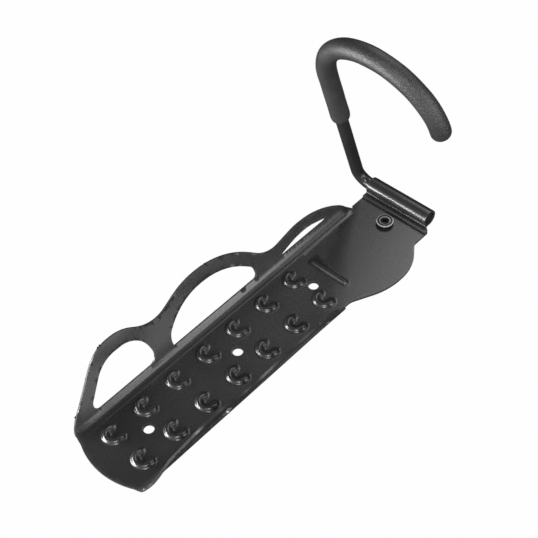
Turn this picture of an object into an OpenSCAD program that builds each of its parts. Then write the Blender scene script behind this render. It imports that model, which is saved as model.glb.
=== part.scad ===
// Folding wall rack for a bicycle. A steel sheet is pressed into a tray with two lobed
// side flanges and a head, and the top of the head is rolled into a hinge barrel. A bent
// rod with a sleeve hangs in the barrel as the folding hook. The top wall screw is fitted.
// The wall is the plane y = 0, the rack stands out towards -Y and +Z is up. The origin is
// on the back of the sheet, midway between the upper and the middle open wall hole.

/* [Sheet] */
// Thickness of the sheet
sheet_t = 1.5; // [1.2:0.1:2]
// Width of the tray and the neck, between the corners of the bends
tray_w = 50; // [48:0.5:56]
// Inside radius of the bends along the tray
bend_r = 4; // [2:0.5:5]
// Depth of the tray's foot below the origin, at the corners
foot_z = 135.6; // [131:0.1:140]
// Drop of the bottom edge from the corners to its middle
bottom_drop = 4.9; // [2:0.1:8]

/* [Flanges] */
// Lean of the flanges, outward from square to the tray
flange_lean = 25; // [15:1:35]
// Height of the tall lobes, along the flange
lobe_h = 35.4; // [34:0.1:44]
// Rim left above the openings of the tall lobes
rim_w = 8.5; // [5:0.1:10]
// Height of the lower edge of every opening
open_h = 5.8; // [5:0.1:7]
// Height of the low lobe beside the head
low_lobe_h = 16.4; // [15:0.1:22]
// Rim left above the opening of the low lobe
low_rim_w = 6.4; // [4.5:0.1:7]

/* [Head] */
// Reach of the ear from the centre line
ear_x = 36.3; // [34:0.1:44]
// Height of the step that parts the right flange from the ear
step_z = 28; // [26:0.2:31]
// Height of the barrel's axis
barrel_z = 118.5; // [116:0.5:130]
// Drop from the barrel's axis to the edge of the rolled tail
tail_drop = 9.4; // [8.6:0.1:11]
// Width of the relief notch at the right end of the roll
relief_w = 4; // [2:0.1:5]

/* [Ridges and holes] */
// Rows of horseshoe ridges
ridge_rows = 7; // [3:1:7]
// Height between the rows
ridge_pitch = 24.7; // [20:0.1:25]
// Height of the top row
ridge_z = 29.2; // [28:0.1:30]
// Distance of each column from the centre line
ridge_x = 12; // [11:0.1:12.5]
// Centre-line radius of a horseshoe
ridge_r = 5.3; // [4:0.1:5.6]
// Straight length of a horseshoe's arms
ridge_arm = 1.1; // [0.5:0.1:4]
// Height and half width of every ridge
ridge_h = 2.1; // [1.8:0.1:2.3]
// Length of the bead across the head
bead_len = 30; // [20:1:36]
// Height of the bead above the origin
bead_z = 47; // [44:0.5:56]
// Spacing of the upper and middle wall holes
hole_gap = 66; // [60:1:68]
// Drop from the middle wall hole to the lower one
hole_drop = 71; // [66:1:74]

/* [Wall screw] */
// Distance of the fitted screw below the hinge axis
screw_drop = 18.1; // [17:0.1:20]
// Thread diameter
screw_d = 6; // [4:0.2:7]
// Head diameter
head_d = 11; // [9.6:0.1:12]
// Head height
head_h = 2.8; // [2.6:0.1:6]
// Width of the hex socket across its flats
socket_af = 4; // [3:0.5:5]
// Length below the head
screw_len = 42; // [30:1:60]

/* [Hook] */
// Diameter of the rod
rod_d = 8; // [7:0.1:8.6]
// Droop of the hook below square to the wall
droop = 15; // [0:1:20]
// Distance of the arm from the centre line
arm_x = 36; // [35:0.5:42]
// Centre-line radius of the bend between the pivot and the arm
pivot_bend_r = 10; // [8:0.5:10]
// Distance from the barrel's axis to the centre of the crook
arm_len = 107; // [90:1:130]
// Centre-line radius of the crook
crook_r = 41; // [34:1:50]
// Turn of the crook
crook_turn = 174; // [150:1:180]
// Outside diameter of the sleeve
sleeve_d = 12; // [11.4:0.2:16]
// Distance from the barrel's axis to the start of the sleeve
sleeve_from = 62; // [40:1:75]

/* [Clearances] */
// Radial clearance of the rod in the barrel
pivot_fit = 0.05; // [0.02:0.01:0.1]
// Radial clearance of the sleeve on the rod
sleeve_fit = 0.05; // [0.02:0.01:0.1]
// Radial clearance of a screw in a wall hole
hole_fit = 0.15; // [0.1:0.05:0.3]

/* [Hidden] */
$fn = 64;

cut = 1;                              // how far a cutting shape runs past a face
lap = 0.5;                            // how far joined shapes run into each other
touch = 0.001;                        // the least that two joined shapes overlap
seam = 0.02;                          // step where two curved stretches of sheet join
arc_step = 5;                         // largest turn of one facet of an outline
half_w = tray_w / 2;
bend_turn = 90 - flange_lean;
bend_run = bend_r * tan(bend_turn / 2);
flat_x = half_w - bend_run;           // where the flat of the tray meets a bend
bottom_x = flat_x - 1;                // half width of the curved bottom edge
bottom_r = (bottom_x * bottom_x + bottom_drop * bottom_drop) / (2 * bottom_drop);
step_slot = 1.2;                      // relief cut between the right flange and the ear
shoulder_z = 98;                      // where the left flange runs out into the neck

hole_d = screw_d + 2 * hole_fit;
hole_zs = [hole_gap / 2, -hole_gap / 2, -hole_gap / 2 - hole_drop];

rod_r = rod_d / 2;
bore_r = rod_r + pivot_fit;
barrel_r = bore_r + sheet_t;          // also the distance of the axis from the wall
roll_bend_r = 1;                      // inside radius of the bend from the roll into the tail
relief_x = half_w - relief_w;
notch_z = 7;                          // the notch starts this far below the axis
screw_z = barrel_z - screw_drop;

fold_turn = 104;                      // how far the hook folds up, until it lies along the wall
slot_w = 4;                           // slot round part of the rod: the stake in it keeps the
slot_depth = 0.7;                     // rod in, and its end is the stop of the lowered hook
stake_h = 0.4;                        // how far the stake stands in past the rod's surface
stake_r = 1.5;
stake_gap = 0.3;
punch_r = 1.2;

pivot_end = 20;                       // free end of the pivot, inside the barrel
sleeve_r = sleeve_d / 2;
sleeve_lead = 2;                      // length of the tapered start of the sleeve
cap_step = 0.15;                      // step from the sleeve's bore and skin to its round end
end_gap = 0.3;                        // between the rod's end and the closed end of the sleeve

// Rounding of one corner p between its neighbours a and b
function unit(v) = v / norm(v);
function half_turn(d) = d > 180 ? d - 360 : d < -180 ? d + 360 : d;
function arc_points(c, r, from, turn) =
    let (steps = max(1, ceil(abs(turn) / arc_step)))
    [for (k = [0:steps]) c + r * [cos(from + turn * k / steps), sin(from + turn * k / steps)]];
function round_corner(a, p, b, r) =
    let (
        u = unit(a - p),
        v = unit(b - p),
        half = acos(u * v) / 2,
        c = p + unit(u + v) * r / sin(half),
        start = p + u * r / tan(half) - c,
        end = p + v * r / tan(half) - c,
        from = atan2(start.y, start.x),
        to = atan2(end.y, end.x)
    )
    arc_points(c, r, from, half_turn(to - from));

// How far a rounding of radius r reaches from its corner p
function reach(a, p, b, r) = r / tan(acos(unit(a - p) * unit(b - p)) / 2);

// Outline through corners [x, y, radius]; a radius of 0 keeps the corner sharp,
// and two roundings that would meet on the side between them both shrink to fit it
function spot(corner) = [corner[0], corner[1]];
function outline(corners) =
    let (
        n = len(corners),
        pts = [for (c = corners) spot(c)],
        reaches = [for (i = [0:n - 1]) reach(pts[(i + n - 1) % n], pts[i], pts[(i + 1) % n], corners[i][2])],
        shares = [for (i = [0:n - 1]) let (j = (i + 1) % n)
            min(1, 0.98 * norm(pts[j] - pts[i]) / max(touch, reaches[i] + reaches[j]))]
    )
    [for (i = [0:n - 1])
        let (r = corners[i][2] * min(shares[i], shares[(i + n - 1) % n]))
        each (r > 0 ? round_corner(pts[(i + n - 1) % n], pts[i], pts[(i + 1) % n], r) : [pts[i]])];

// Outlines drawn on a flange: [height along the flange, z, radius]
flange_in = -6;                       // far enough inside to take in the whole bend
lobe_in = lobe_h - rim_w;
low_in = low_lobe_h - low_rim_w;
lobes = [
    [flange_in, -foot_z, 0],
    [4.1, -foot_z, 20],
    [lobe_h + 1.5, -101.4, 26],
    [lobe_h + 1.5, -81.3, 27],
    [lobe_h - 10.4, -62.1, 24],
    [lobe_h, -33.8, 56],
    [lobe_h, -0.8, 60],
    [low_lobe_h - 3.7, 27.1, 20],
    [low_lobe_h, 51.7, 50],
    [low_lobe_h, 79.1, 62],
    [1, shoulder_z, 2],
    [flange_in, shoulder_z, 0]
];
tall_openings = [
    [
        [open_h, -121.5, 3.6],
        [lobe_in + 1.4, -99.8, 22],
        [lobe_in + 1.4, -72.6, 17],
        [open_h, -68.2, 6]
    ],
    [
        [open_h, -56.3, 1.4],
        [12.2, -56.6, 10],
        [lobe_in + 0.1, -39.4, 43],
        [lobe_in + 0.1, -4, 48],
        [12.6, 13.6, 4],
        [open_h, 13.6, 3]
    ]
];
low_opening = [
    [open_h, 35.4, 0.5],
    [open_h + 1.2, 36.2, 0.6],
    [low_in, 50.5, 56],
    [low_in, 62.5, 44],
    [open_h + 0.9, 76.3, 0.6],
    [open_h, 76.5, 0.5]
];

// Puts a drawing of x against z on the wall plane, thickness outward
module on_wall() {
    rotate([90, 0, 0]) children();
}

// Ring between two radii from one direction round to another
module sector(r_in, r_out, from, to) {
    intersection() {
        difference() {
            circle(r = r_out, $fn = 96);
            circle(r = r_in, $fn = 96);
        }
        polygon(concat([[0, 0]],
            [for (k = [0:8]) let (a = from + (to - from) * k / 8) 2 * r_out * [cos(a), sin(a)]]));
    }
}

// Flat of the tray and the head
module flat_outline() {
    tray_x = flat_x - lap / 2;
    translate([-tray_x, -foot_z]) square([2 * tray_x, foot_z + shoulder_z]);
    intersection() {
        translate([0, bottom_r - foot_z - bottom_drop]) circle(r = bottom_r, $fn = 180);
        translate([-flat_x, -foot_z - 2 * bottom_drop]) square([2 * flat_x, 2.5 * bottom_drop]);
    }
    polygon(outline([
        [0, step_z + step_slot, 0],
        [half_w, step_z + step_slot, 0],
        [half_w + 0.1, 38, 10],
        [ear_x, 60.3, 46],
        [ear_x, 83.7, 33],
        [half_w, 98.7, 4],
        [half_w, barrel_z, 0],
        [-half_w, barrel_z, 0],
        [-half_w, shoulder_z - 1, 0],
        [0, shoulder_z - 1, 0]
    ]));
}

// Section of a bend and its flange, x against distance from the wall
module flange_section() {
    translate([flat_x - lap, 0]) square([lap + touch, sheet_t]);
    translate([flat_x, sheet_t + bend_r]) sector(bend_r, bend_r + sheet_t, -90, -flange_lean);
    translate([half_w, sheet_t]) rotate(-flange_lean)
        translate([0, bend_run - touch]) square([sheet_t, lobe_h]);
}

// Flange on the right side, kept up to a height and where the outlines drawn on it allow
module flange(top, openings) {
    intersection() {
        translate([0, 0, -foot_z - cut]) linear_extrude(height = foot_z + barrel_z)
            mirror([0, 1]) flange_section();
        translate([half_w, -sheet_t, 0]) rotate([0, 0, flange_lean]) rotate([90, 0, 90])
            translate([0, 0, -2 * bend_r]) linear_extrude(height = 2 * bend_r + sheet_t + cut)
                mirror([1, 0]) difference() {
                    polygon(outline(lobes));
                    for (o = openings) polygon(outline(o));
                    translate([flange_in - cut, top]) square([2 * lobe_h, barrel_z]);
                }
    }
}

// Rolled top edge: distance from the wall against height, both from the barrel's axis
roll_c = let (y = 2 * sheet_t + roll_bend_r - barrel_r) [y, -sqrt(pow(barrel_r + roll_bend_r, 2) - y * y)];
meet = atan2(roll_c.y, roll_c.x);     // where the roll turns back into the tail
module roll_section() {
    lead = [cos(meet + 8), sin(meet + 8)];
    sector(bore_r, barrel_r, meet, 180);
    polygon(concat(
        [(bore_r + seam) * lead],
        arc_points(roll_c, roll_bend_r + sheet_t - seam, meet + 180, -meet),
        [[sheet_t - barrel_r - 5 * seam, roll_c.y], [sheet_t - barrel_r - 5 * seam, -tail_drop]],
        [[2 * sheet_t - barrel_r - seam, -tail_drop]],
        arc_points(roll_c, roll_bend_r + seam, 180, meet),
        [(barrel_r - seam) * lead]
    ));
}

module roll() {
    translate([-half_w, -barrel_r, barrel_z]) rotate([90, 0, 90])
        linear_extrude(height = tray_w) mirror([1, 0]) roll_section();
}

// Slanted notch that leaves the right end of the roll short of the tail and the head
module relief() {
    top = barrel_z + 2 * barrel_r;
    translate([0, cut, 0]) rotate([90, 0, 0]) linear_extrude(height = 3 * barrel_r) polygon([
        [relief_x, top],
        [relief_x, barrel_z - notch_z + relief_w],
        [half_w + cut, barrel_z - notch_z - cut],
        [half_w + cut, top]
    ]);
}

// Section of a ridge, or of the hollow behind it
module ridge_section(r, from) {
    translate([0, sheet_t]) circle(r = r, $fn = 48);
    translate([-r, from]) square([2 * r, sheet_t - from]);
}

module ridge_end(r, from) {
    translate([0, 0, sheet_t]) sphere(r = r, $fn = 48);
    translate([0, 0, from]) cylinder(r = r, h = sheet_t - from, $fn = 48);
}

module horseshoe(r, from) {
    rotate([0, 0, 180]) rotate_extrude(angle = 180) translate([ridge_r, 0]) ridge_section(r, from);
    for (side = [-1, 1]) translate([side * ridge_r, ridge_arm, 0]) {
        rotate([90, 0, 0]) linear_extrude(height = ridge_arm) ridge_section(r, from);
        ridge_end(r, from);
    }
}

module bead(r, from) {
    run = bead_len - 2 * ridge_h;
    rotate([90, 0, 90]) translate([0, 0, -run / 2]) linear_extrude(height = run) ridge_section(r, from);
    for (side = [-1, 1]) translate([side * run / 2, 0, 0]) ridge_end(r, from);
}

module ridges(r, from) {
    on_wall() {
        for (row = [0:ridge_rows - 1], side = [-1, 1])
            translate([side * ridge_x, ridge_z - row * ridge_pitch, 0]) horseshoe(r, from);
        translate([0, bead_z, 0]) bead(r, from);
    }
}

module wall_hole(z) {
    on_wall() translate([0, z, -cut]) cylinder(d = hole_d, h = sheet_t + 2 * cut);
}

module bracket() color("dimgray") {
    difference() {
        union() {
            on_wall() linear_extrude(height = sheet_t) flat_outline();
            flange(step_z, tall_openings);
            mirror([1, 0, 0]) flange(barrel_z, concat(tall_openings, [low_opening]));
            roll();
            intersection() {
                ridges(ridge_h, 0);
                translate([-half_w, -2 * ridge_h - sheet_t, -foot_z])
                    cube([tray_w, 2 * ridge_h + sheet_t, foot_z + barrel_z]);
            }
            on_wall() translate([0, barrel_z, 0])
                cylinder(r = stake_r, h = sheet_t + pivot_fit + stake_h, $fn = 32);
        }
        ridges(ridge_h - 1.2, -cut);
        for (z = concat([screw_z], hole_zs)) wall_hole(z);
        on_wall() translate([0, barrel_z, -cut]) cylinder(r = punch_r, h = cut + 0.8, $fn = 32);
        relief();
    }
}

// Hook drawn flat, pivot along X and arm towards -Y, then drooped about the barrel's axis
module hook_frame() {
    translate([0, -barrel_r, barrel_z]) rotate([droop, 0, 0]) children();
}

crook_x = crook_r - arm_x;            // centre of the crook
crook_end = 180 + crook_turn;
crook_tip = [crook_x + crook_r * cos(crook_end), -arm_len + crook_r * sin(crook_end), 0];

module crook(r, past) {
    translate([crook_x, -arm_len, 0]) rotate([0, 0, 180 - past])
        rotate_extrude(angle = crook_turn + 2 * past, $fn = 128) translate([crook_r, 0]) circle(r = r);
}

module hook_rod() color("#1a1a1a") {
    leg_x = arm_x - pivot_bend_r;
    slot_edge = asin((stake_r + stake_gap) / (rod_r - slot_depth));
    hook_frame() {
        difference() {
            union() {
                translate([-leg_x, 0, 0]) rotate([0, 90, 0]) cylinder(r = rod_r, h = leg_x + pivot_end - 1);
                translate([pivot_end - 1, 0, 0]) rotate([0, 90, 0])
                    cylinder(r1 = rod_r, r2 = rod_r - 0.8, h = 1);
            }
            rotate([0, 90, 0]) rotate([0, 0, 90 - droop - slot_edge])
                rotate_extrude(angle = fold_turn + 2 * slot_edge)
                    translate([rod_r - slot_depth, -slot_w / 2]) square([slot_depth + cut, slot_w]);
        }
        translate([-leg_x, -pivot_bend_r, 0]) rotate([0, 0, 90])
            rotate_extrude(angle = 90, $fn = 128) translate([pivot_bend_r, 0]) circle(r = rod_r);
        translate([-arm_x, -pivot_bend_r, 0]) rotate([90, 0, 0])
            cylinder(r = rod_r, h = arm_len - pivot_bend_r);
        crook(rod_r, 0);
    }
}

module hook_sleeve() color("#303030") {
    bore = rod_r + sleeve_fit;
    straight = arm_len - sleeve_from;
    hook_frame() {
        translate([-arm_x, -sleeve_from, 0]) rotate([90, 0, 0]) difference() {
            union() {
                cylinder(r1 = bore + 0.8, r2 = sleeve_r, h = sleeve_lead);
                translate([0, 0, sleeve_lead]) cylinder(r = sleeve_r, h = straight - sleeve_lead);
            }
            translate([0, 0, -cut]) cylinder(r = bore, h = straight + 2 * cut);
        }
        difference() {
            crook(sleeve_r, 0);
            crook(bore, 1);
        }
        translate(crook_tip) rotate([-90, 0, crook_end]) difference() {
            sphere(r = sleeve_r - cap_step);
            translate([0, 0, -2 * sleeve_r]) cylinder(r = 2 * sleeve_r, h = 2 * sleeve_r);
            translate([0, 0, -cut]) cylinder(r = bore + cap_step, h = cut + end_gap);
        }
    }
}

module wall_screw() color("#262626") {
    rim = 0.6;
    point = 6;
    neck_y = sheet_t;                  // underside of the head, on the front of the sheet
    on_wall() translate([0, screw_z, neck_y]) {
        difference() {
            union() {
                cylinder(d = head_d, h = head_h - rim);
                translate([0, 0, head_h - rim]) cylinder(d1 = head_d, d2 = head_d - 2 * rim, h = rim);
            }
            translate([0, 0, head_h - 2.4]) cylinder(d = socket_af / cos(30), h = 2.4 + cut, $fn = 6);
            translate([0, 0, head_h - 0.5]) cylinder(d1 = socket_af, d2 = socket_af + 3, h = 1);
        }
        translate([0, 0, point - screw_len]) cylinder(d = screw_d, h = screw_len - point);
        translate([0, 0, -screw_len]) cylinder(d1 = 1, d2 = screw_d, h = point);
    }
}

bracket();
hook_rod();
hook_sleeve();
wall_screw();
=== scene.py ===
# Folding bicycle wall rack: pressed sheet, bent rod, foam sleeve and the top wall screw.
# Sizes in the dictionaries are millimetres. What is multiplied by mm there, and floorSize, is metres.
import math

import bmesh
import bpy
import numpy as np
from mathutils import Matrix, Vector
from mathutils.geometry import delaunay_2d_cdt


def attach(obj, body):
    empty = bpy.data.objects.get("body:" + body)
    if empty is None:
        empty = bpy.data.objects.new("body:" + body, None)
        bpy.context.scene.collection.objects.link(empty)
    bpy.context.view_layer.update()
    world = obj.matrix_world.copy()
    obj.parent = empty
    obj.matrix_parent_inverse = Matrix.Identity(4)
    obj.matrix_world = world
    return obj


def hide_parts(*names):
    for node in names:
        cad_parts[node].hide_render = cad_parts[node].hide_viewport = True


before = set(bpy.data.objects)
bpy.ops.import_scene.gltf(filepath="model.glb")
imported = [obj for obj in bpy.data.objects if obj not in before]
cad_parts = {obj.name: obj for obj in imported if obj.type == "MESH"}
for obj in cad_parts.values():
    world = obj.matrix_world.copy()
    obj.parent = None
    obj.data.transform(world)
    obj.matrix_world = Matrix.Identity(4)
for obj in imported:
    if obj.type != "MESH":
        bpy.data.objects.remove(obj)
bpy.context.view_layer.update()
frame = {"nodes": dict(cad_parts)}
print("frame loaded:", ", ".join(frame["nodes"]))

mm = 0.001


# small helpers

def addObject(name, verts, faces):
    mesh = bpy.data.meshes.new(name)
    mesh.from_pydata([tuple(v) for v in verts], [], [tuple(f) for f in faces])
    mesh.validate()
    obj = bpy.data.objects.new(name, mesh)
    bpy.context.scene.collection.objects.link(obj)
    return obj


def applyModifiers(obj):
    graph = bpy.context.evaluated_depsgraph_get()
    graph.update()
    plain = bpy.data.meshes.new_from_object(obj.evaluated_get(graph))
    obj.modifiers.clear()
    old = obj.data
    obj.data = plain
    bpy.data.meshes.remove(old)
    plain.name = obj.name


def smoothShade(obj, sharpDeg):
    mesh = obj.data
    mesh.polygons.foreach_set("use_smooth", [True] * len(mesh.polygons))
    mesh.set_sharp_from_angle(angle=math.radians(sharpDeg))
    mesh.update()


def markWearAndHighlightEdges(obj, amounts):
    # how close each corner of the mesh is to an edge; the finishes paint edges lighter there, partly as wear,
    # partly as a painted highlight
    layer = obj.data.attributes.new("edgeWearAndHighlight", "FLOAT", "POINT")
    layer.data.foreach_set("value", np.asarray(amounts, float))


def finishPiece(obj, material, body, slot, *nodes):
    obj.data.materials.clear()
    obj.data.materials.append(material)
    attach(obj, body)
    if nodes:
        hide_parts(*nodes)


def roundCorner(a, p, b, r, stepDeg):
    a, p, b = (np.array(q, float) for q in (a, p, b))
    u, v = (a - p) / np.linalg.norm(a - p), (b - p) / np.linalg.norm(b - p)
    half = math.acos(max(-1, min(1, float(u @ v)))) / 2
    centre = p + (u + v) / np.linalg.norm(u + v) * r / math.sin(half)
    start = p + u * r / math.tan(half) - centre
    end = p + v * r / math.tan(half) - centre
    fromAngle = math.atan2(start[1], start[0])
    turn = (math.atan2(end[1], end[0]) - fromAngle + math.pi) % (2 * math.pi) - math.pi
    steps = max(2, math.ceil(abs(math.degrees(turn)) / stepDeg))
    angles = [fromAngle + turn * k / steps for k in range(steps + 1)]
    return [centre + r * np.array([math.cos(angle), math.sin(angle)]) for angle in angles]


def roundedOutline(corners, stepDeg=4.0):
    # corners are (x, y, radius); radius 0 stays sharp
    out = []
    for i, (x, y, r) in enumerate(corners):
        before, after = corners[i - 1][:2], corners[(i + 1) % len(corners)][:2]
        out += roundCorner(before, (x, y), after, r, stepDeg) if r else [np.array([x, y], float)]
    return out


def evenLoop(points, gap):
    # splits the long straight stretches, so the sheet's mesh stays even
    out = []
    for i, p in enumerate(points):
        q = points[(i + 1) % len(points)]
        steps = max(1, round(float(np.linalg.norm(q - p)) / gap))
        out += [p + (q - p) * k / steps for k in range(steps)]
    return [p for i, p in enumerate(out) if np.linalg.norm(p - out[i - 1]) > 0.05]


def insideLoop(pts, loop):
    x, y = pts[:, 0], pts[:, 1]
    inside = np.zeros(len(pts), bool)
    for i in range(len(loop)):
        (x1, y1), (x2, y2) = loop[i - 1], loop[i]
        if y1 == y2:
            continue
        crosses = (y1 > y) != (y2 > y)
        inside ^= crosses & (x < (x2 - x1) * (y - y1) / (y2 - y1) + x1)
    return inside


def loopDistance(pts, loop, reach=3.0):
    # distance to the nearest stretch of a loop, no more than reach
    best = np.full(len(pts), reach)
    for i in range(len(loop)):
        a, b = np.array(loop[i - 1]), np.array(loop[i])
        near = np.flatnonzero(np.abs(pts - (a + b) / 2).max(1) < reach + 0.5)
        if len(near):
            p, d = pts[near], b - a
            t = np.clip(((p - a) @ d) / (d @ d), 0, 1)
            best[near] = np.minimum(best[near], np.linalg.norm(p - a - t[:, None] * d, axis=1))
    return best


# node helpers

def addNode(tree, kind, **values):
    node = tree.nodes.new(kind)
    for name, value in values.items():
        setattr(node, name, value)
    return node


def plug(tree, value, socket):
    if isinstance(value, bpy.types.NodeSocket):
        tree.links.new(value, socket)
    elif value is not None:
        socket.default_value = value


def calc(tree, operation, *values):
    node = addNode(tree, "ShaderNodeMath", operation=operation)
    for socket, value in zip(node.inputs, values):
        plug(tree, value, socket)
    return node.outputs[0]


def mapRange(tree, value, fromMin, fromMax, toMin, toMax):
    node = addNode(tree, "ShaderNodeMapRange", interpolation_type="SMOOTHSTEP")
    labels = ("Value", "From Min", "From Max", "To Min", "To Max")
    for label, v in zip(labels, (value, fromMin, fromMax, toMin, toMax)):
        plug(tree, v, node.inputs[label])
    return node.outputs["Result"]


def newShapeTree(name, inputs):
    tree = bpy.data.node_groups.new(name, "GeometryNodeTree")
    tree.interface.new_socket("Geometry", in_out="INPUT", socket_type="NodeSocketGeometry")
    for label, kind in inputs:
        tree.interface.new_socket(label, in_out="INPUT", socket_type=kind)
    tree.interface.new_socket("Geometry", in_out="OUTPUT", socket_type="NodeSocketGeometry")
    start = addNode(tree, "NodeGroupInput")
    end = addNode(tree, "NodeGroupOutput")
    return tree, start.outputs, end


def endShapeTree(tree, geometry, material, end):
    realize = addNode(tree, "GeometryNodeRealizeInstances")
    paint = addNode(tree, "GeometryNodeSetMaterial")
    plug(tree, geometry, realize.inputs[0])
    plug(tree, realize.outputs[0], paint.inputs["Geometry"])
    plug(tree, material, paint.inputs["Material"])
    plug(tree, paint.outputs[0], end.inputs[0])


def runShapeTree(obj, tree, values):
    modifier = obj.modifiers.new(tree.name, "NODES")
    modifier.node_group = tree
    for item in tree.interface.items_tree:
        if item.in_out == "INPUT" and item.name in values:
            modifier[item.identifier] = values[item.name]
    applyModifiers(obj)


# camera, floor and light

studio = {
    "lens": 84.16, "sensor": 36.0,
    "cameraAt": (343.16, -573.31, -327.65),
    "cameraRight": (0.7310, 0.0567, 0.6800),
    "cameraUp": (-0.4798, -0.6658, 0.5714),
    "floorZ": -600.0, "floorSize": 12.0, "floorGlow": 0.6,
    "worldColor": (0.99, 0.99, 0.99), "ambient": 0.05,
}


def setCamera(s):
    right = Vector(s["cameraRight"]).normalized()
    up = Vector(s["cameraUp"])
    up = (up - right * up.dot(right)).normalized()
    back = right.cross(up)
    data = bpy.data.cameras.new("camera")
    data.lens, data.sensor_width = s["lens"], s["sensor"]
    data.clip_start, data.clip_end = 0.01, 60
    cam = bpy.data.objects.new("camera", data)
    turn = Matrix((right, up, back)).transposed().to_4x4()
    cam.matrix_world = Matrix.Translation(Vector(s["cameraAt"]) * mm) @ turn
    bpy.context.scene.collection.objects.link(cam)
    bpy.context.scene.camera = cam


def setWorld(s):
    # the lens sees a plain white backdrop, the object a dimmer room
    world = bpy.data.worlds.new("room")
    bpy.context.scene.world = world
    world.use_nodes = True
    tree = world.node_tree
    tree.nodes.clear()
    rays = addNode(tree, "ShaderNodeLightPath")
    white = addNode(tree, "ShaderNodeBackground")
    room = addNode(tree, "ShaderNodeBackground")
    mix = addNode(tree, "ShaderNodeMixShader")
    out = addNode(tree, "ShaderNodeOutputWorld")
    white.inputs["Color"].default_value = (*s["worldColor"], 1)
    room.inputs["Color"].default_value = (1, 1, 1, 1)
    room.inputs["Strength"].default_value = s["ambient"]
    plug(tree, rays.outputs["Is Camera Ray"], mix.inputs["Fac"])
    plug(tree, room.outputs[0], mix.inputs[1])
    plug(tree, white.outputs[0], mix.inputs[2])
    plug(tree, mix.outputs[0], out.inputs["Surface"])


def addSoftbox(name, at, aim, size, watts):
    data = bpy.data.lights.new(name, "AREA")
    data.shape = "RECTANGLE"
    data.size, data.size_y = size[0] * mm, size[1] * mm
    data.energy = watts
    obj = bpy.data.objects.new(name, data)
    at, aim = Vector(at) * mm, Vector(aim) * mm
    obj.location = at
    obj.rotation_euler = (aim - at).to_track_quat("-Z", "Y").to_euler()
    bpy.context.scene.collection.objects.link(obj)


setCamera(studio)
setWorld(studio)
bpy.context.scene.view_settings.view_transform = "Standard"

softboxes = [
    # name, place, aim, size, watts
    ("keyBox", (-165, -690, 600), (0, -20, 30), (400, 330), 1.75),
    ("trayBox", (-175, -790, 310), (0, -20, 30), (380, 250), 0.42),
    ("frontRight", (400, -650, 500), (0, -20, 30), (300, 300), 0.6),
    ("nearBox", (415, -670, -435), (0, -90, 90), (220, 220), 3.4),
    ("rightFront", (765, -370, 340), (0, -20, 30), (360, 360), 2.6),
    ("rightSide", (890, -90, 160), (0, -20, 30), (360, 420), 1.9),
    ("rightLow", (850, 60, -330), (0, -20, 30), (360, 360), 1.9),
    ("lowStrip", (-220, -75, -330), (0, -12, 114), (80, 480), 5.0),
]
for box in softboxes:
    addSoftbox(*box)
print("camera and softboxes placed")


# finishes

def newGroup(name, inputs, outputs):
    group = bpy.data.node_groups.new(name, "ShaderNodeTree")
    for label, kind, value in inputs:
        socket = group.interface.new_socket(label, in_out="INPUT", socket_type=kind)
        socket.default_value = value
    for label, kind in outputs:
        group.interface.new_socket(label, in_out="OUTPUT", socket_type=kind)
    return group, addNode(group, "NodeGroupInput").outputs, addNode(group, "NodeGroupOutput")


def makeCoatGroup():
    # colour, roughness and height of a sprayed or moulded skin, with edges painted lighter: partly wear,
    # partly painted highlight
    number, colour = "NodeSocketFloat", "NodeSocketColor"
    group, have, end = newGroup(
        "coatSkin",
        [("Colour", colour, (0.02, 0.02, 0.02, 1)), ("Edge Highlight And Worn Colour", colour, (0.2, 0.2, 0.2, 1)),
         ("Roughness", number, 0.4), ("Roughness Spread", number, 0.08), ("Cloud Size", number, 30.0),
         ("Grain Size", number, 0.8), ("Edge Wear And Highlight", number, 0.3)],
        [("Colour", colour), ("Roughness", number), ("Height", number)])
    coords = addNode(group, "ShaderNodeTexCoord").outputs["Object"]

    def noise(sizeMm, detail, rough=0.5):
        node = addNode(group, "ShaderNodeTexNoise")
        plug(group, coords, node.inputs["Vector"])
        plug(group, calc(group, "DIVIDE", 1000.0, sizeMm), node.inputs["Scale"])
        node.inputs["Detail"].default_value = detail
        node.inputs["Roughness"].default_value = rough
        return node.outputs["Fac"]

    cloud = noise(have["Cloud Size"], 4)
    grain = noise(have["Grain Size"], 3, 0.6)
    wearAndHighlightNoise = noise(6.0, 5, 0.7)
    rim = addNode(group, "ShaderNodeAttribute", attribute_name="edgeWearAndHighlight").outputs["Fac"]
    wearAndHighlightPatches = mapRange(group, wearAndHighlightNoise, 0.35, 0.65, 0.6, 1.0)
    # the lighter edge colour is partly rubbed paint, partly a painted highlight where a rounded edge catches
    # the light
    wornAndLit = calc(group, "MULTIPLY", calc(group, "MULTIPLY", rim, have["Edge Wear And Highlight"]), wearAndHighlightPatches)
    tone = addNode(group, "ShaderNodeMix", data_type="RGBA")
    plug(group, wornAndLit, tone.inputs["Factor"])
    plug(group, have["Colour"], tone.inputs["A"])
    plug(group, have["Edge Highlight And Worn Colour"], tone.inputs["B"])
    shade = addNode(group, "ShaderNodeHueSaturation")
    plug(group, mapRange(group, cloud, 0.3, 0.7, 0.85, 1.15), shade.inputs["Value"])
    plug(group, tone.outputs["Result"], shade.inputs["Color"])
    swing = calc(group, "MULTIPLY", calc(group, "SUBTRACT", cloud, 0.5), have["Roughness Spread"])
    fine = calc(group, "MULTIPLY", calc(group, "SUBTRACT", grain, 0.5), have["Roughness Spread"])
    rough = calc(group, "ADD", calc(group, "ADD", have["Roughness"], swing), fine)
    plug(group, shade.outputs[0], end.inputs["Colour"])
    plug(group, rough, end.inputs["Roughness"])
    plug(group, grain, end.inputs["Height"])
    return group


coatGroup = makeCoatGroup()


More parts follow.
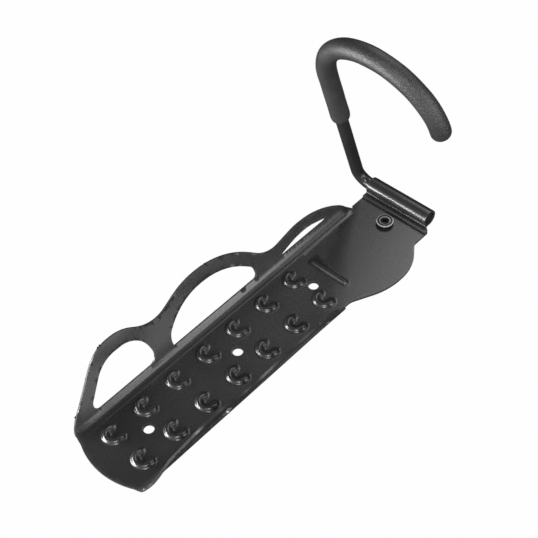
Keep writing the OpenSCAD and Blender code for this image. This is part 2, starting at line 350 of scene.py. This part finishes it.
def makeFinish(name, look):
    material = bpy.data.materials.new(name)
    material.use_nodes = True
    tree = material.node_tree
    shader = tree.nodes["Principled BSDF"]
    skin = addNode(tree, "ShaderNodeGroup", node_tree=coatGroup)
    for label, value in look["skin"].items():
        skin.inputs[label].default_value = value
    bump = addNode(tree, "ShaderNodeBump")
    bump.inputs["Strength"].default_value = look["bump"]
    bump.inputs["Distance"].default_value = look["depth"] * mm
    plug(tree, skin.outputs["Height"], bump.inputs["Height"])
    plug(tree, skin.outputs["Colour"], shader.inputs["Base Color"])
    plug(tree, skin.outputs["Roughness"], shader.inputs["Roughness"])
    plug(tree, bump.outputs[0], shader.inputs["Normal"])
    for label, value in look["shader"].items():
        shader.inputs[label].default_value = value
    material.diffuse_color = look["skin"]["Colour"]
    return material


def grey(v):
    return (v, v, v * 1.02, 1)


# the sheet's lighter cut edges are partly wear, partly a painted highlight line
sheetCoat = makeFinish("satinBlackCoat", {
    "skin": {"Colour": grey(0.018), "Edge Highlight And Worn Colour": grey(0.16), "Roughness": 0.27, "Roughness Spread": 0.05,
             "Cloud Size": 45.0, "Grain Size": 0.9, "Edge Wear And Highlight": 0.12},
    "bump": 0.06, "depth": 0.02, "shader": {"Specular IOR Level": 0.55}})
rodCoat = makeFinish("glossBlackRodCoat", {
    "skin": {"Colour": grey(0.016), "Edge Highlight And Worn Colour": grey(0.08), "Roughness": 0.30, "Roughness Spread": 0.08,
             "Cloud Size": 25.0, "Grain Size": 0.7, "Edge Wear And Highlight": 0.3},
    "bump": 0.25, "depth": 0.03, "shader": {"Specular IOR Level": 0.5}})
sleeveFoam = makeFinish("charcoalFoam", {
    "skin": {"Colour": grey(0.027), "Edge Highlight And Worn Colour": grey(0.10), "Roughness": 0.46, "Roughness Spread": 0.2,
             "Cloud Size": 20.0, "Grain Size": 1.3, "Edge Wear And Highlight": 0.2},
    "bump": 0.9, "depth": 0.42, "shader": {"Specular IOR Level": 0.6}})
# the screw's light edge colour is mostly a painted highlight on the head's rings, partly wear
screwSteel = makeFinish("blackScrewSteel", {
    "skin": {"Colour": grey(0.008), "Edge Highlight And Worn Colour": grey(0.55), "Roughness": 0.30, "Roughness Spread": 0.15,
             "Cloud Size": 4.0, "Grain Size": 0.5, "Edge Wear And Highlight": 0.8},
    "bump": 0.3, "depth": 0.03, "shader": {"Specular IOR Level": 0.2}})
print("finishes ready")


# pressed sheet

sheet = {
    "thick": 1.5, "halfWidth": 25.0, "leftWidth": 25.7, "bendRadius": 4.0, "leanDeg": 25.0,
    "footZ": -135.6, "bottomDrop": 4.9, "bottomX": 21.45,
    "stepZ": 26.8, "slit": 1.2, "tipDrop": 7.0,
    "leftTurn": [(-137, 58), (-122, 65), (90, 65), (99, 0)],
    "rightTurn": [(-138, 46), (-117, 66), (-85, 66.7), (-45, 65), (8, 65), (27, 60)],
    "barrelZ": 118.5, "boreRadius": 4.05, "tailBend": 1.0, "tailDrop": 9.4,
    "reliefX": 21.0, "notchDrop": 7.0,
    "holeRadius": 3.15, "holes": (100.4, 33.0, -33.0, -104.0),
    # outlines are (height or distance across, place along, radius of the corner)
    "lobes": [(-6, -135.6, 0), (4.1, -135.6, 20), (37.2, -101.4, 26), (37.2, -81.3, 27), (25.4, -62.1, 24),
              (35.8, -33.8, 56), (35.8, -0.8, 60), (12.7, 27.1, 20), (16.4, 51.7, 50), (16.4, 79.1, 62),
              (1, 98, 2), (-6, 98, 0)],
    "ear": [(25.1, 38, 10), (36.3, 60.3, 46), (36.3, 83.7, 33), (25, 98.7, 4)],
    "tallOpenings": [
        [(5.8, -121.9, 3.6), (28.5, -100.2, 22), (28.5, -72.6, 17), (5.8, -68.2, 6)],
        [(5.8, -56.5, 1.4), (12.4, -56.8, 10), (27.4, -39.6, 43), (27.2, -4, 48), (12.6, 13.6, 4),
         (5.8, 13.6, 3)]],
    "lowOpening": [(5.8, 35.4, 0.5), (7, 36.2, 0.6), (10, 50.5, 56), (10, 62.5, 44), (6.7, 76.3, 0.6),
                   (5.8, 76.5, 0.5)],
    "holeSides": 40, "bottomSteps": 12, "noseCut": 1.5, "slitCut": (0.4, 0.3), "tailGap": 0.03,
    # spacings are across and along, slants follow them
    "edgeGap": 0.9, "coarse": 2.4, "fine": 0.6, "fineSlant": (0, 0.12), "ridgeZone": (21.8, -130.0, 50.0),
    "flatSpan": (-64, 64, -141, 118), "bendSpan": (-132, 112), "bendGrid": (0.55, 1.1, (0, 0.3)),
    "rollSpan": (-28, 28), "rollGrid": (0.9, 0.42, (0.2, 0)), "tailGrid": (0.9, 0.28, (0.2, 0)),
    "tailInset": (0.25, 0.6),
    "rimGap": 0.7, "edgeRound": 0.24, "wearAndHighlightWidth": 0.35,
}

turnFull = math.radians(90 - sheet["leanDeg"])
bendRun = sheet["bendRadius"] * math.tan(turnFull / 2)
flatX = sheet["halfWidth"] - bendRun
bendLength = sheet["bendRadius"] * turnFull
outerBarrel = sheet["boreRadius"] + sheet["thick"]
tailCentre = (2 * sheet["thick"] + sheet["tailBend"] - outerBarrel,
              -math.sqrt((outerBarrel + sheet["tailBend"]) ** 2
                         - (2 * sheet["thick"] + sheet["tailBend"] - outerBarrel) ** 2))
meetAngle = math.atan2(tailCentre[1], tailCentre[0])  # negative: below the axis, towards the wall
rollLength = sheet["boreRadius"] * (math.pi - meetAngle)
backBend = sheet["tailBend"] + sheet["thick"]
backLength = backBend * (-meetAngle)
tailLength = sheet["tailDrop"] + tailCentre[1]


def acrossFlange(s):
    # distance from the centre line in the flat pattern, for a height s along a flange
    return flatX + bendLength + s - bendRun if s >= bendRun else flatX + bendLength * s / bendRun


def turnAt(a, v):
    # how far the sheet is turned up here, in radians
    if a > 0 and v > sheet["stepZ"] + sheet["slit"] / 2:
        return 0.0
    stops = sheet["rightTurn"] if a > 0 else sheet["leftTurn"]
    for (low, turnLow), (high, turnHigh) in zip(stops, stops[1:]):
        if v <= high:
            t = min(max((v - low) / (high - low), 0.0), 1.0)
            return math.radians(turnLow + (turnHigh - turnLow) * t * t * (3 - 2 * t))
    return math.radians(stops[-1][1])


def foldSheet(pts):
    # the flat pattern (across, up) taken to its pressed and rolled shape: the sheet's front face
    out = np.zeros((len(pts), 3))
    t, zb, rb = sheet["thick"], sheet["barrelZ"], sheet["boreRadius"]
    for i, (a, v) in enumerate(pts):
        x, n, z = a, t, v
        if v > zb:
            run = v - zb
            if run <= rollLength:
                angle = math.pi - run / rb
                n, z = outerBarrel + rb * math.cos(angle), zb + rb * math.sin(angle)
            elif run <= rollLength + backLength:
                angle = meetAngle + math.pi + (run - rollLength) / backBend
                n = outerBarrel + tailCentre[0] + backBend * math.cos(angle)
                z = zb + tailCentre[1] + backBend * math.sin(angle)
            else:
                n, z = t, zb + tailCentre[1] - (run - rollLength - backLength)
            n += sheet["tailGap"] if run > rollLength + backLength / 2 else 0
        elif abs(a) > flatX:
            full = turnAt(a, v)
            d = abs(a) - flatX
            if full > 0.002:
                radius = bendLength / full
                along = min(d, bendLength) / radius
                x = flatX + radius * math.sin(along)
                n = t + radius * (1 - math.cos(along))
                if d > bendLength:
                    x += (d - bendLength) * math.cos(full)
                    n += (d - bendLength) * math.sin(full)
                x = math.copysign(x, a)
        out[i] = (x, -n, z)
    return out


def sheetLoops(s):
    # outer outline of the flat pattern, anticlockwise, and its holes
    flangeLine = [p for p in roundedOutline(s["lobes"]) if p[0] > 0]
    radius = (s["bottomX"] ** 2 + s["bottomDrop"] ** 2) / (2 * s["bottomDrop"])
    steps = s["bottomSteps"]
    bottom = []
    for k in range(-steps, steps + 1):
        x = s["bottomX"] * k / steps
        bottom.append(np.array([x, s["footZ"] - s["bottomDrop"] + radius - math.sqrt(radius ** 2 - x * x)]))
    tip = s["stepZ"] - s["tipDrop"]
    right = [np.array([acrossFlange(p[0]), p[1]]) for p in flangeLine if p[1] < tip]
    top, foot, nose, (cutX, cutZ) = s["stepZ"], s["stepZ"] + s["slit"], s["noseCut"], s["slitCut"]
    slit = [(right[-1][0] - nose, tip + nose), (flatX + 2, top), (flatX + cutX, top), (flatX, top + cutZ),
            (flatX, foot - cutZ), (flatX + cutX, foot)]
    slit = [np.array(q, float) for q in slit]
    # helper corners close each outline below and are then dropped
    ear = roundedOutline([(0, foot, 0), (25, foot, 0)] + s["ear"] + [(25, 120, 0), (0, 120, 0)])
    ear = [p for p in ear if p[0] > 20 and p[1] < 115]
    w, wl, r, drop = s["halfWidth"], s["leftWidth"], s["reliefX"], s["notchDrop"]
    backStart = s["barrelZ"] + rollLength + backLength  # where the tail's straight part begins
    low, end = s["barrelZ"] - drop, backStart + tailLength
    tail = backStart + tailCentre[1] + drop
    step = w - r
    roll = roundedOutline([(w, low, 0.5), (r, low + step, 0.6), (r, tail - step, 0.6), (w, tail, 0.5),
                           (w, end, 0.4), (-wl, end, 0.4), (-wl, 99, 0), (0, 60, 0), (w, 60, 0)], 15)
    roll = [p for p in roll if p[1] > 98.5]
    left = [np.array([-acrossFlange(p[0]), p[1]]) for p in reversed(flangeLine)]
    outer = bottom + right + slit + ear + roll + left
    hole, sides = s["holeRadius"], s["holeSides"]
    angles = [k * math.tau / sides for k in range(sides)]
    holes = [[np.array([hole * math.cos(t), z + hole * math.sin(t)]) for t in angles] for z in s["holes"]]
    for side in (1, -1):
        for shape in s["tallOpenings"] + ([s["lowOpening"]] if side < 0 else []):
            holes.append([np.array([side * acrossFlange(p[0]), p[1]]) for p in roundedOutline(shape, 6)])
    return evenLoop(outer, s["edgeGap"]), [evenLoop(h, s["edgeGap"]) for h in holes]


def gridPoints(x0, x1, y0, y1, dx, dy, slant=(0.0, 0.0)):
    # a slanted grid is cut into triangles the same way all over
    xs = np.linspace(x0, x1, max(2, round((x1 - x0) / dx) + 1))
    ys = np.linspace(y0, y1, max(2, round((y1 - y0) / dy) + 1))
    pts = np.stack(np.meshgrid(xs, ys), -1).reshape(-1, 2)
    return pts + (pts[:, ::-1] - ((y0 + y1) / 2, (x0 + x1) / 2)) * slant


def buildSheetMesh(s):
    outer, holes = sheetLoops(s)
    zx, zLow, zHigh = s["ridgeZone"]
    endV = s["barrelZ"] + rollLength + backLength + tailLength
    fine = gridPoints(-zx, zx, zLow, zHigh, s["fine"], s["fine"], s["fineSlant"])
    coarse = gridPoints(*s["flatSpan"], s["coarse"], s["coarse"])
    across, along = np.abs(coarse[:, 0]), coarse[:, 1]
    inRidges = (across < zx + 1) & (along > zLow - 1) & (along < zHigh + 1)
    inBends = (across >= flatX - 1) & (across <= flatX + bendLength + 1)
    coarse = coarse[~inRidges & ~inBends]
    bends = [gridPoints(side * flatX, side * (flatX + bendLength), *s["bendSpan"], *s["bendGrid"])
             for side in (1, -1)]
    rollEnd, (startInset, endInset) = s["barrelZ"] + rollLength, s["tailInset"]
    roll = gridPoints(*s["rollSpan"], s["barrelZ"], rollEnd, *s["rollGrid"])
    tail = gridPoints(*s["rollSpan"], rollEnd + startInset, endV - endInset, *s["tailGrid"])
    inner = np.concatenate([fine, coarse, *bends, roll, tail])
    for loop in [outer] + holes:
        inner = inner[loopDistance(inner, loop) > s["rimGap"]]
    keep = insideLoop(inner, outer)
    for hole in holes:
        keep &= ~insideLoop(inner, hole)
    inner = inner[keep]
    points, edges = [], []
    for loop in [outer] + holes:
        first = len(points)
        points += [Vector(p) for p in loop]
        edges += [(first + k, first + (k + 1) % len(loop)) for k in range(len(loop))]
    points += [Vector(p) for p in inner]
    verts, _, faces, _, _, _ = delaunay_2d_cdt(points, edges, [], 0, 1e-5)
    flat = np.array([(v.x, v.y) for v in verts])
    faces = np.array(faces)
    middle = flat[faces].mean(1)
    keep = insideLoop(middle, outer)
    for hole in holes:
        keep &= ~insideLoop(middle, hole)
    faces = faces[keep]
    a, b, c = (flat[faces[:, k]] for k in range(3))
    area = (b[:, 0] - a[:, 0]) * (c[:, 1] - a[:, 1]) - (b[:, 1] - a[:, 1]) * (c[:, 0] - a[:, 0])
    faces[area < 0] = faces[area < 0][:, ::-1]
    faces = faces[np.abs(area) > 1e-7]
    obj = addObject("pressedSheet", foldSheet(flat) * mm, faces)
    # edges are painted lighter from this: partly wear, partly a painted highlight along the cut rims
    margin = np.min([loopDistance(flat, loop) for loop in [outer] + holes], axis=0)
    markWearAndHighlightEdges(obj, np.exp(-margin / s["wearAndHighlightWidth"]))
    loose = bmesh.new()
    loose.from_mesh(obj.data)
    bmesh.ops.delete(loose, geom=[v for v in loose.verts if not v.link_faces], context="VERTS")
    loose.to_mesh(obj.data)
    loose.free()
    return obj


ridges = {
    "Rows": 7, "Pitch": 24.7 * mm, "Top Row": 29.2 * mm, "Column": 12.0 * mm, "Loop Radius": 5.2 * mm,
    "Arm": 1.5 * mm, "Fade From": -1.5 * mm, "Fade To": 4.6 * mm, "Crown": 0.3 * mm, "Outer Foot": 2.6 * mm,
    "Inner Foot": 3.9 * mm, "Lift": 1.9 * mm, "Bead Height": 47.0 * mm, "Bead Half": 12.9 * mm,
}


def makeRidgeTree():
    # raises the horseshoe ridges and the bead out of the flat of the sheet
    labels = [(k, "NodeSocketInt" if k == "Rows" else "NodeSocketFloat") for k in ridges]
    tree, have, end = newShapeTree("raiseRidges", labels + [("Finish", "NodeSocketMaterial")])
    place = addNode(tree, "ShaderNodeSeparateXYZ")
    plug(tree, addNode(tree, "GeometryNodeInputPosition").outputs[0], place.inputs[0])
    x, z = calc(tree, "ABSOLUTE", place.outputs["X"]), place.outputs["Z"]
    u = calc(tree, "SUBTRACT", x, have["Column"])
    row = calc(tree, "ROUND", calc(tree, "DIVIDE", calc(tree, "SUBTRACT", have["Top Row"], z), have["Pitch"]))
    row = calc(tree, "MAXIMUM", calc(tree, "MINIMUM", row, calc(tree, "SUBTRACT", have["Rows"], 1.0)), 0.0)
    rowHeight = calc(tree, "SUBTRACT", have["Top Row"], calc(tree, "MULTIPLY", row, have["Pitch"]))
    v = calc(tree, "SUBTRACT", z, rowHeight)

    def length(p, q):
        squares = [calc(tree, "MULTIPLY", part, part) for part in (p, q)]
        return calc(tree, "SQRT", calc(tree, "ADD", *squares))

    def pick(test, whenTrue, whenFalse):
        gain = calc(tree, "SUBTRACT", whenTrue, whenFalse)
        return calc(tree, "ADD", whenFalse, calc(tree, "MULTIPLY", test, gain))

    # signed distance from the crown: outwards is positive
    bow = calc(tree, "SUBTRACT", length(u, v), have["Loop Radius"])
    past = calc(tree, "MAXIMUM", calc(tree, "SUBTRACT", v, have["Arm"]), 0.0)
    side = calc(tree, "SUBTRACT", calc(tree, "ABSOLUTE", u), have["Loop Radius"])
    arm = calc(tree, "MULTIPLY", length(side, past), calc(tree, "SIGN", side))
    away = pick(calc(tree, "GREATER_THAN", v, 0.0), arm, bow)
    outside = calc(tree, "GREATER_THAN", away, 0.0)
    foot = pick(outside, have["Outer Foot"], have["Inner Foot"])
    fade = mapRange(tree, v, have["Fade From"], have["Fade To"], 1.0, 0.45)
    lift = calc(tree, "MULTIPLY", have["Lift"], fade)
    shoe = mapRange(tree, calc(tree, "ABSOLUTE", away), have["Crown"], foot, lift, 0.0)
    pastBead = calc(tree, "MAXIMUM", calc(tree, "SUBTRACT", x, have["Bead Half"]), 0.0)
    fromBead = length(pastBead, calc(tree, "SUBTRACT", z, have["Bead Height"]))
    bead = mapRange(tree, fromBead, have["Crown"], have["Outer Foot"], have["Lift"], 0.0)
    shift = addNode(tree, "ShaderNodeCombineXYZ")
    plug(tree, calc(tree, "MULTIPLY", calc(tree, "MAXIMUM", shoe, bead), -1.0), shift.inputs["Y"])
    move = addNode(tree, "GeometryNodeSetPosition")
    plug(tree, have["Geometry"], move.inputs["Geometry"])
    plug(tree, shift.outputs[0], move.inputs["Offset"])
    endShapeTree(tree, move.outputs[0], have["Finish"], end)
    return tree


def buildSheet():
    obj = buildSheetMesh(sheet)
    runShapeTree(obj, makeRidgeTree(), {**ridges, "Finish": sheetCoat})
    wall = obj.modifiers.new("wall", "SOLIDIFY")
    wall.thickness = sheet["thick"] * mm
    wall.offset = -1
    # the tight upper corner of lowOpening makes the modifier's overlap clamp hold this rounding near zero
    edge = obj.modifiers.new("edge", "BEVEL")
    edge.width = sheet["edgeRound"] * mm
    edge.segments = 2
    edge.limit_method = "ANGLE"
    edge.angle_limit = math.radians(60)
    applyModifiers(obj)
    smoothShade(obj, 45)
    finishPiece(obj, sheetCoat, "bracket", "painted_sheet", "bracket")
    print("pressed sheet:", len(obj.data.polygons), "faces")


buildSheet()


# foam sleeve

hook = {
    "axisOut": 5.55, "axisZ": 118.5, "droopDeg": 15.0, "armX": -36.0, "armLength": 107.0,
    "crookRadius": 41.0, "crookDeg": 174.0,
}
sleeve = {
    "from": 65.3, "radius": 6.0,
    # (run along the rod, radius) from inside the mouth, over its lip
    "lip": [(3.0, 4.08), (0.5, 4.08), (0.4, 4.7), (0.55, 5.2), (0.95, 5.6), (1.6, 5.85), (2.6, 5.98)],
    "capLength": 5.0, "capPower": 2.9, "capSteps": 14, "tipRadius": 0.3, "sides": 72, "ringGap": 0.7,
    "swells": [(0.04, 0.31, 0), (0.03, 0.13, 1)],
}


def hookPoint(x, w):
    droop = math.radians(hook["droopDeg"])
    return Vector((x, -(hook["axisOut"] + w * math.cos(droop)), hook["axisZ"] - w * math.sin(droop))) * mm


def hookTurn(dx, dw):
    droop = math.radians(hook["droopDeg"])
    return Vector((dx, -dw * math.cos(droop), -dw * math.sin(droop)))


def hookPath(run):
    # point and direction on the rod's centre line, run millimetres past the sleeve's start
    straight = hook["armLength"] - sleeve["from"]
    r = hook["crookRadius"]
    if run <= straight:
        return hookPoint(hook["armX"], sleeve["from"] + run), hookTurn(0, 1)
    angle = (run - straight) / r
    over = angle - math.radians(hook["crookDeg"])
    angle = min(angle, math.radians(hook["crookDeg"]))
    x = hook["armX"] + r - r * math.cos(angle)
    w = hook["armLength"] + r * math.sin(angle)
    ahead = (math.sin(angle), math.cos(angle))
    if over > 0:
        x, w = x + ahead[0] * over * r, w + ahead[1] * over * r
    return hookPoint(x, w), hookTurn(*ahead)


def sweepRings(rings, sides):
    # rings are (centre, direction, radius in metres); both ends are closed
    up = hookTurn(0, 1).cross(Vector((1, 0, 0))).normalized()
    angles = [k * math.tau / sides for k in range(sides)]
    verts, faces = [], []
    for centre, ahead, radius in rings:
        side = ahead.cross(up).normalized()
        verts += [centre + (side * math.cos(t) + up * math.sin(t)) * radius for t in angles]
    for i in range(len(rings) - 1):
        for k in range(sides):
            a, b = i * sides + k, i * sides + (k + 1) % sides
            faces.append((a, b, b + sides, a + sides))
    for i, centre in ((0, rings[0][0]), (len(rings) - 1, rings[-1][0])):
        verts.append(centre)
        hub = len(verts) - 1
        ring = [i * sides + k for k in range(sides)]
        faces += [(hub, ring[k], ring[(k + 1) % sides]) for k in range(sides)]
    return verts, faces


def buildSleeve():
    s = sleeve
    total = hook["armLength"] - s["from"] + hook["crookRadius"] * math.radians(hook["crookDeg"])
    rings = [(*hookPath(run), r * mm) for run, r in s["lip"]]
    start = s["lip"][-1][0]
    steps = round((total - start) / s["ringGap"])
    for k in range(1, steps + 1):
        run = start + (total - start) * k / steps
        # a moulded sleeve is never quite even
        swell = sum(size * math.sin(run * rate + shift) for size, rate, shift in s["swells"])
        rings.append((*hookPath(run), (s["radius"] + swell) * mm))
    last, tip = s["capSteps"], s["tipRadius"]
    for k in range(1, last + 1):
        t = math.sin(k / last * math.pi / 2)
        r = s["radius"] * (1 - t ** s["capPower"]) ** (1 / s["capPower"]) if k < last else tip
        rings.append((*hookPath(total + s["capLength"] * t), max(r, tip) * mm))
    verts, faces = sweepRings(rings, s["sides"])
    obj = addObject("foamSleeve", verts, faces)
    tidy = bmesh.new()
    tidy.from_mesh(obj.data)
    bmesh.ops.remove_doubles(tidy, verts=tidy.verts, dist=1e-7)
    bmesh.ops.recalc_face_normals(tidy, faces=tidy.faces)
    tidy.to_mesh(obj.data)
    tidy.free()
    smoothShade(obj, 50)
    finishPiece(obj, sleeveFoam, "hook", "soft_sleeve", "hook_sleeve")
    print("foam sleeve:", len(obj.data.polygons), "faces")


buildSleeve()


# rod

rod = frame["nodes"]["hook_rod"]
rod.data.materials.clear()
rod.data.materials.append(rodCoat)


# top wall screw

screw = {
    "z": 100.4, "seat": 1.5, "headHeight": 2.8, "socket": 2.31, "socketTop": 2.2, "socketDepth": 2.2,
    "length": 42.0, "sides": 72, "threadFrom": 35.5, "dimple": 0.3,
    # (radius, height) from the point up, with the head's underside at 0
    "profile": [(0.3, -42.0), (1.0, -40.4), (2.62, -36.0), (2.62, -6.0), (2.95, -5.5), (2.95, -0.3),
                (3.05, 0.0), (5.2, 0.0), (5.5, 0.3), (5.5, 2.2), (5.4, 2.55), (5.1, 2.75), (4.7, 2.8)],
    # rings 10, 11 and 14, on the head's outer rounding and by the socket, take the light edge colour: a
    # painted highlight ring with a little wear
    "rim": [(3.6, 2.8), (3.25, 2.78), (2.85, 2.5), (2.45, 2.2)], "highlightAndWearRings": (10, 11, 14),
}
thread = {"Turns": 15.0, "Radius": 2.62 * mm, "Run": 28.0 * mm, "Ridge": 0.42 * mm}


def makeThreadTree():
    # one winding ridge along the shank
    number = "NodeSocketFloat"
    labels = [(k, number) for k in thread] + [("Finish", "NodeSocketMaterial")]
    tree, have, end = newShapeTree("windThread", labels)
    coil = addNode(tree, "GeometryNodeCurveSpiral")
    coil.inputs["Resolution"].default_value = 36
    plug(tree, have["Turns"], coil.inputs["Rotations"])
    plug(tree, have["Radius"], coil.inputs["Start Radius"])
    plug(tree, have["Radius"], coil.inputs["End Radius"])
    plug(tree, have["Run"], coil.inputs["Height"])
    tooth = addNode(tree, "GeometryNodeCurvePrimitiveCircle")
    tooth.inputs["Resolution"].default_value = 4
    plug(tree, have["Ridge"], tooth.inputs["Radius"])
    body = addNode(tree, "GeometryNodeCurveToMesh")
    body.inputs["Fill Caps"].default_value = True
    plug(tree, coil.outputs[0], body.inputs["Curve"])
    plug(tree, tooth.outputs[0], body.inputs["Profile Curve"])
    join = addNode(tree, "GeometryNodeJoinGeometry")
    tree.links.new(body.outputs[0], join.inputs[0])
    tree.links.new(have["Geometry"], join.inputs[0])
    endShapeTree(tree, join.outputs[0], have["Finish"], end)
    return tree


def buildScrew():
    s = screw
    rings = s["profile"] + s["rim"]
    verts, faces, n = [], [], s["sides"]
    for r, h in rings:
        verts += [(r * math.cos(k * math.tau / n), r * math.sin(k * math.tau / n), h) for k in range(n)]
    for h in (s["socketTop"], s["headHeight"] - s["socketDepth"]):
        for k in range(n):  # hexagon walked with the same number of steps as the round rings
            angle = k * math.tau / n
            flat = (angle + math.pi / 6) % (math.pi / 3) - math.pi / 6
            r = s["socket"] * math.cos(math.pi / 6) / math.cos(flat)
            verts.append((r * math.cos(angle), r * math.sin(angle), h))
    rows = len(rings) + 2
    for i in range(rows - 1):
        for k in range(n):
            a, b = i * n + k, i * n + (k + 1) % n
            faces.append((a, b, b + n, a + n))
    verts += [(0, 0, -s["length"]), (0, 0, s["headHeight"] - s["socketDepth"] - s["dimple"])]
    tip, floor = len(verts) - 2, len(verts) - 1
    faces += [(tip, (k + 1) % n, k) for k in range(n)]
    last = (rows - 1) * n
    faces += [(last + k, last + (k + 1) % n, floor) for k in range(n)]
    obj = addObject("topWallScrew", [Vector(v) * mm for v in verts], faces)
    # the listed rings are painted light, mostly as a painted highlight round the head's rim and socket,
    # partly as wear
    markWearAndHighlightEdges(obj, [1.0 if i // n in s["highlightAndWearRings"] else 0.0 for i in range(len(verts))])
    # the thread is wound upwards from the origin, so the screw is lifted for it
    lift = Vector((0, 0, s["threadFrom"] * mm))
    obj.data.transform(Matrix.Translation(lift))
    runShapeTree(obj, makeThreadTree(), {**thread, "Finish": screwSteel})
    obj.data.transform(Matrix.Translation(-lift))
    obj.data.transform(Matrix.Rotation(math.radians(90), 4, "X"))
    obj.data.transform(Matrix.Translation(Vector((0, -s["seat"] * mm, s["z"] * mm))))
    smoothShade(obj, 35)
    finishPiece(obj, screwSteel, "bracket", "black_screw", "wall_screw")
    print("top wall screw:", len(obj.data.polygons), "faces")


buildScrew()


# floor

def buildFloor(s):
    half = s["floorSize"] / 2
    z = s["floorZ"] * mm
    corners = [(-half, -half, z), (half, -half, z), (half, half, z), (-half, half, z)]
    obj = addObject("paleFloor", corners, [(0, 1, 2, 3)])
    material = bpy.data.materials.new("paleFloorPaint")
    material.use_nodes = True
    tree = material.node_tree
    shader = tree.nodes["Principled BSDF"]
    shader.inputs["Roughness"].default_value = 0.9
    cloud = addNode(tree, "ShaderNodeTexNoise")
    cloud.inputs["Scale"].default_value = 1.5
    plug(tree, addNode(tree, "ShaderNodeTexCoord").outputs["Object"], cloud.inputs["Vector"])
    tint = addNode(tree, "ShaderNodeMix", data_type="RGBA")
    plug(tree, cloud.outputs["Fac"], tint.inputs["Factor"])
    tint.inputs["A"].default_value = (0.86, 0.86, 0.86, 1)
    tint.inputs["B"].default_value = (0.92, 0.92, 0.92, 1)
    plug(tree, tint.outputs["Result"], shader.inputs["Base Color"])
    # the floor looks pale but throws no light of its own on the rack
    seen = addNode(tree, "ShaderNodeMix", data_type="RGBA")
    plug(tree, addNode(tree, "ShaderNodeLightPath").outputs["Is Camera Ray"], seen.inputs["Factor"])
    seen.inputs["A"].default_value = (0, 0, 0, 1)
    seen.inputs["B"].default_value = grey(s["floorGlow"])
    plug(tree, seen.outputs["Result"], shader.inputs["Emission Color"])
    shader.inputs["Emission Strength"].default_value = 1.0
    obj.data.materials.append(material)


buildFloor(studio)

print("scene ready")
